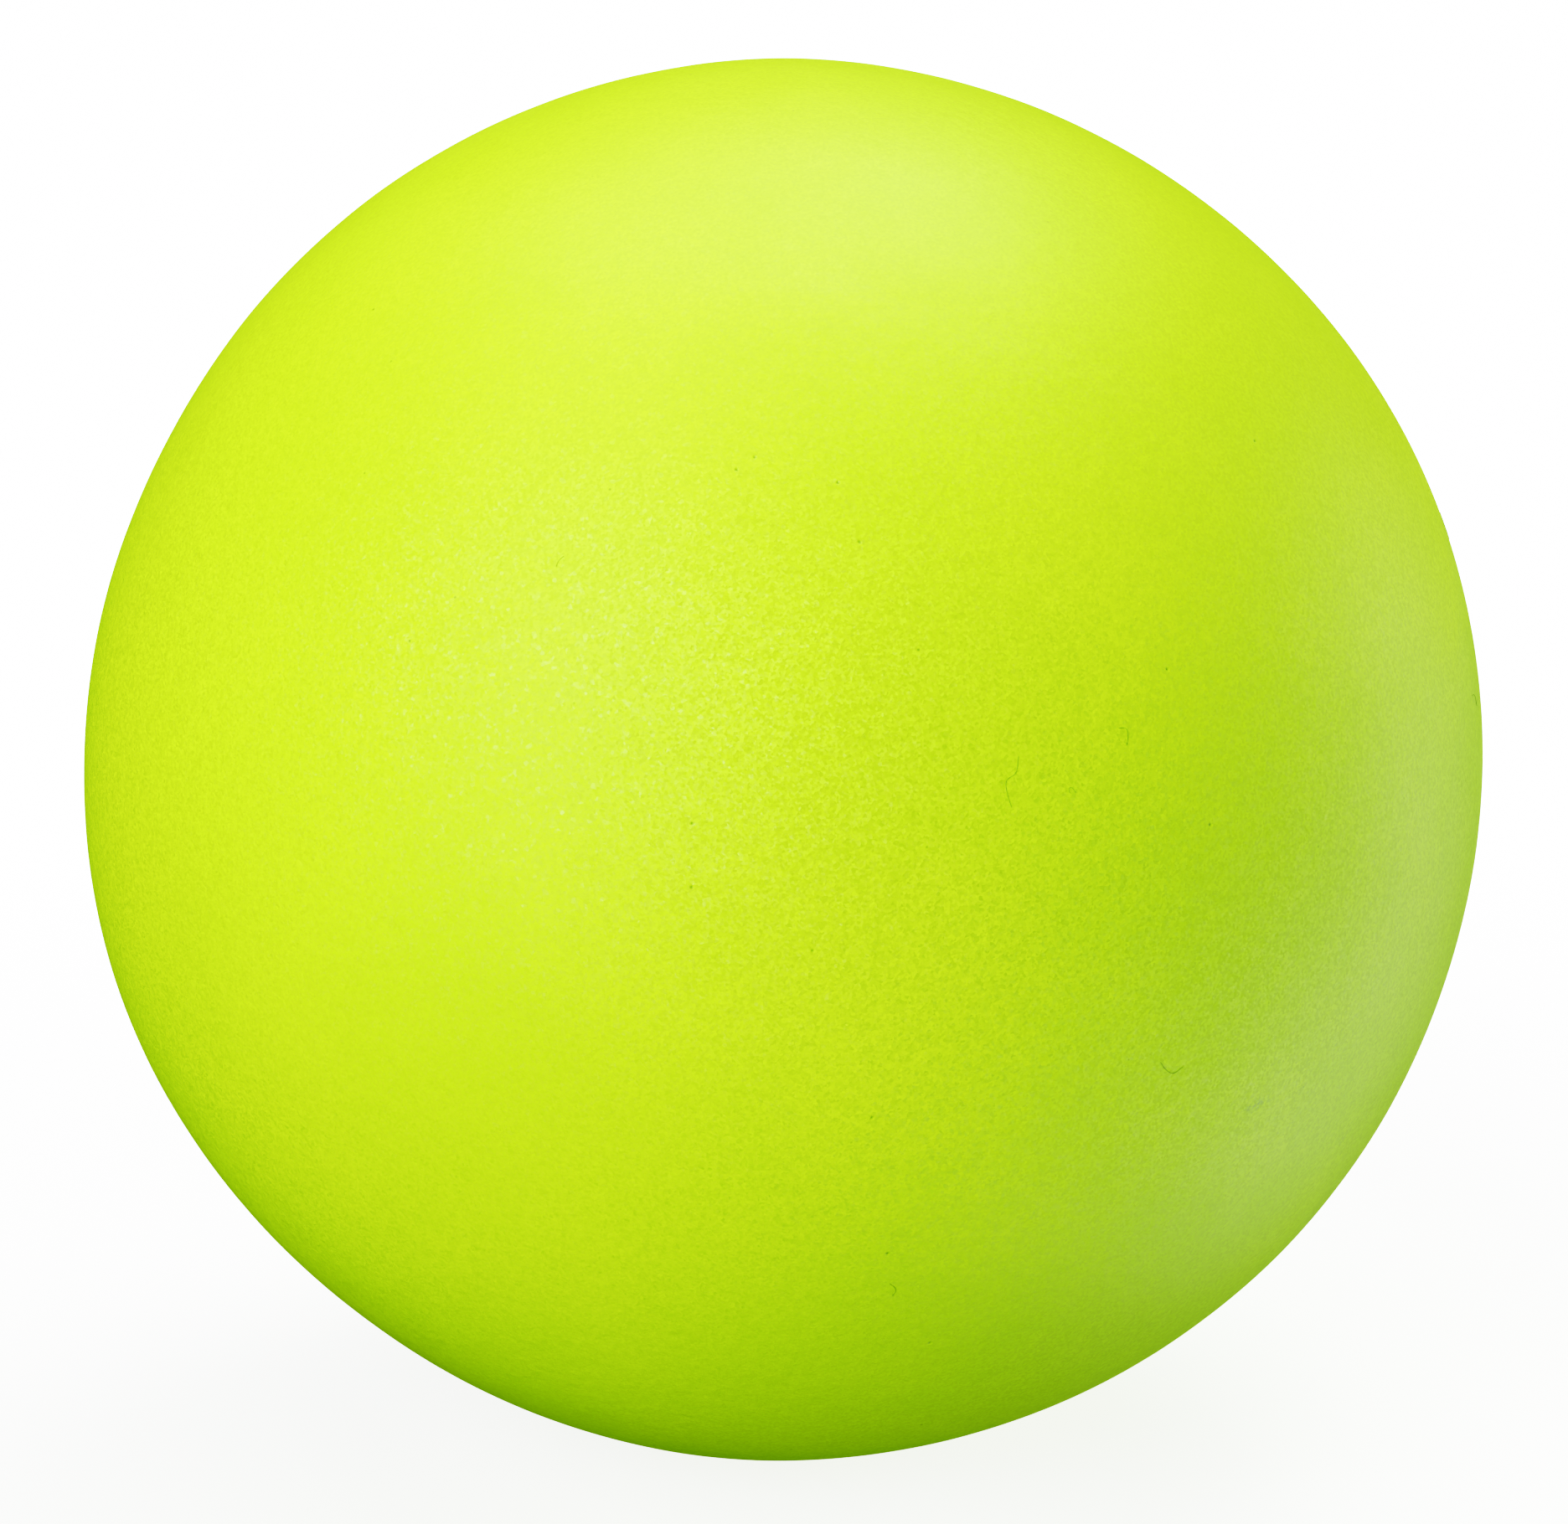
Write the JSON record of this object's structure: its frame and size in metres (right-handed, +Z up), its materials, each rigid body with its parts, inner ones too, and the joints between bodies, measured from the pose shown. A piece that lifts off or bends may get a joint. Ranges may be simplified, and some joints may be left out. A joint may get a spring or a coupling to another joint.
{
  "type": "foam pickleball",
  "caption": "Closed, seamless foam-cored ball with a matte lime-yellow elastic skin, for quiet or indoor paddle play.",
  "frame": {"origin": "centre of the ball", "axes": "+Z up; the ball is the same about every axis through its centre"},
  "size_m": [0.074, 0.074, 0.074],
  "materials": {
    "cellular_foam": "matte",
    "clear_base_coat": "satin",
    "lime_skin": "matte"
  },
  "bodies": {
    "root": {"foam_core": "cellular_foam", "base_coat": "clear_base_coat", "outer_skin": "lime_skin"}
  },
  "joints": []
}
